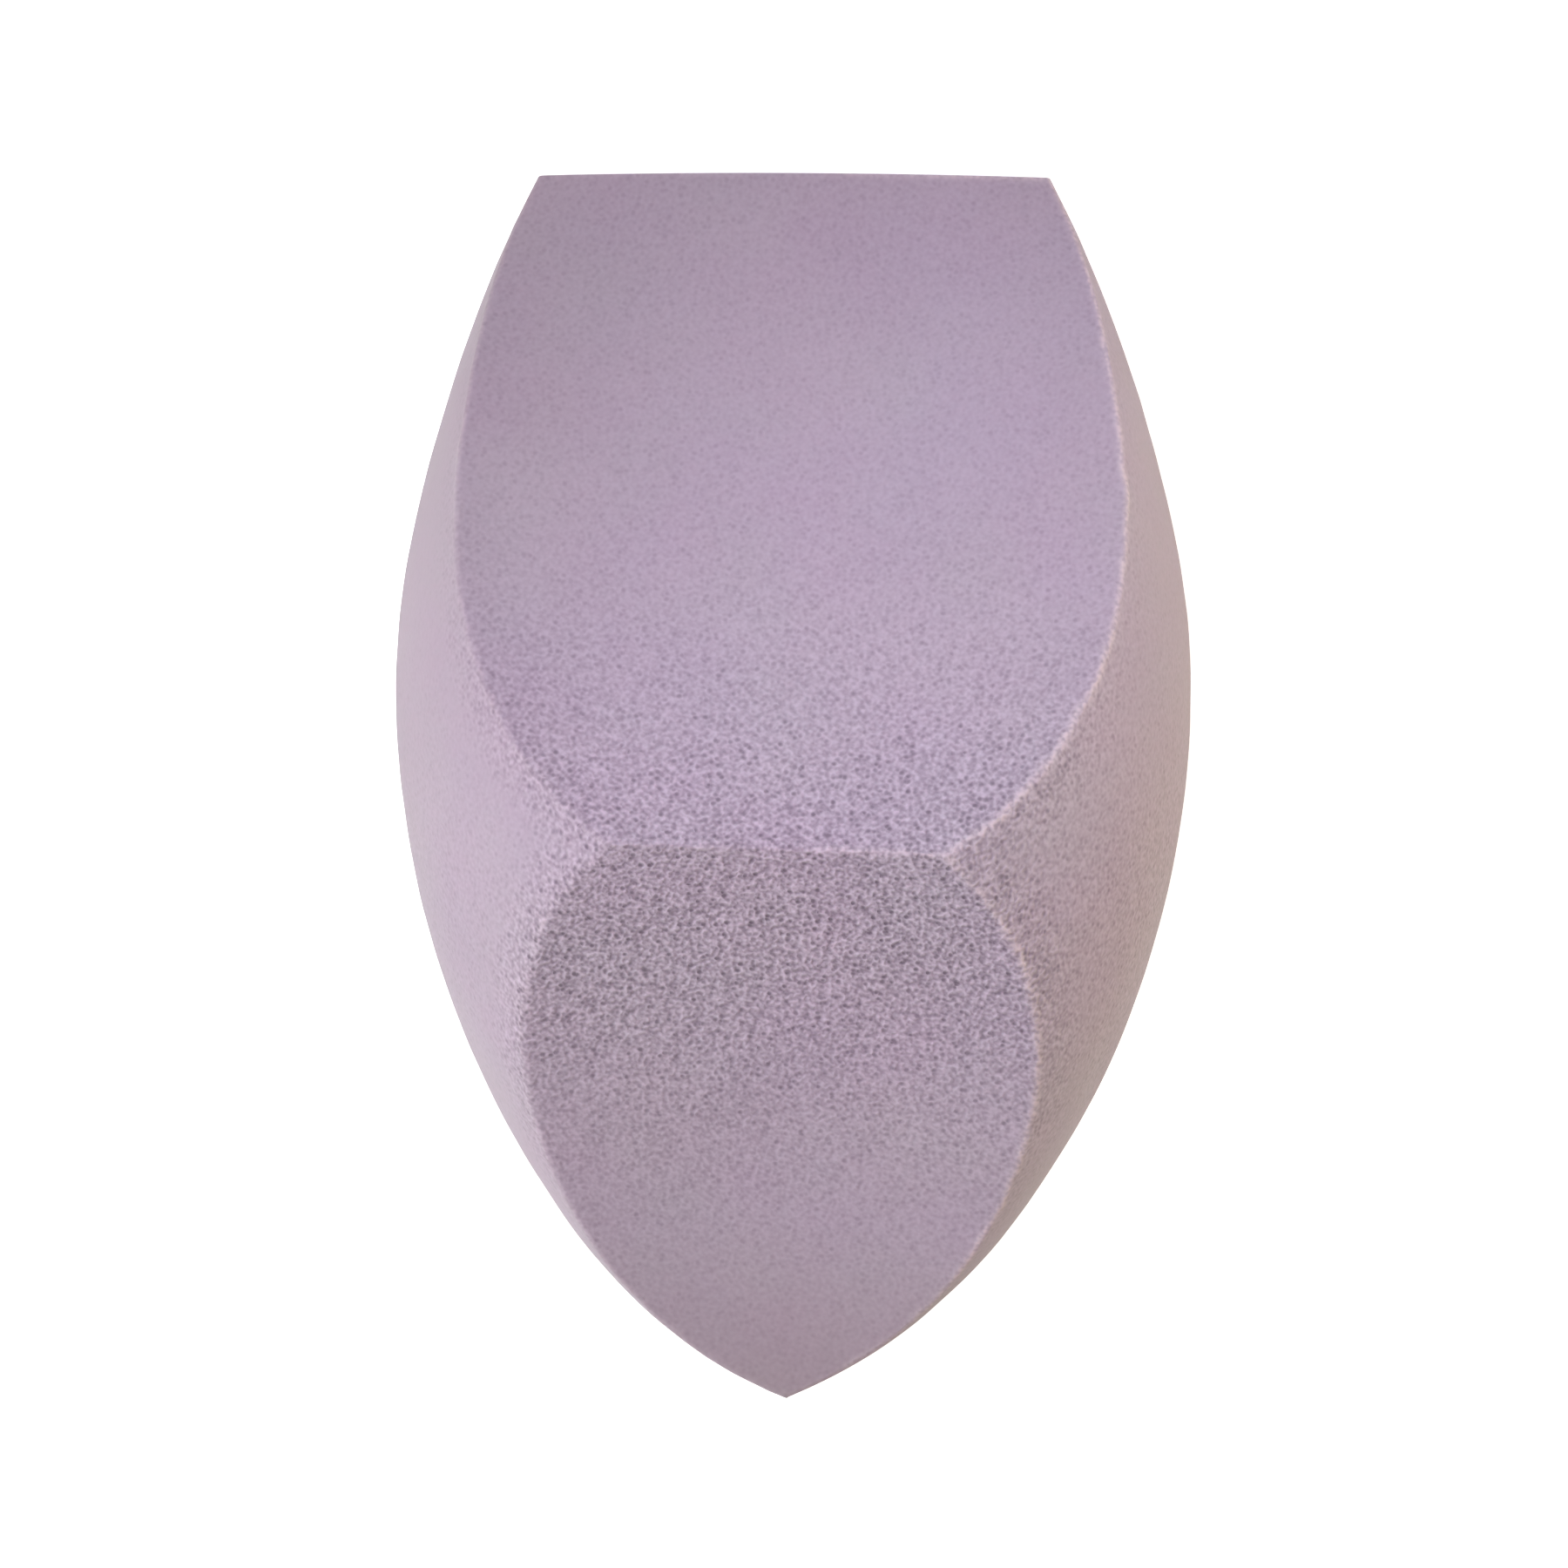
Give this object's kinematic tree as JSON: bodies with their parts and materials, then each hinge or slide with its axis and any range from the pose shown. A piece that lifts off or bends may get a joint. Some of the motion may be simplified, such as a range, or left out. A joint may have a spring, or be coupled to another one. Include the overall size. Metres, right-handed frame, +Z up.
{
  "type": "makeup sponge",
  "caption": "Soft foam makeup sponge: a teardrop with hollowed front cuts that meet at a ridge, a flat back, a blunt blade edge and a pointed tip, for blending makeup.",
  "frame": {"origin": "on the table plane that the flat back cut rests on, under the middle of the sponge's whole outline", "axes": "+Z up from the table, +Y along the sponge's length towards its raised tip, with the blade edge at -Y, +X across"},
  "size_m": [0.04, 0.058, 0.0319],
  "materials": {
    "foam": "matte open-cell foam, mauve"
  },
  "bodies": {
    "root": {"foam_body": "foam"}
  },
  "joints": []
}
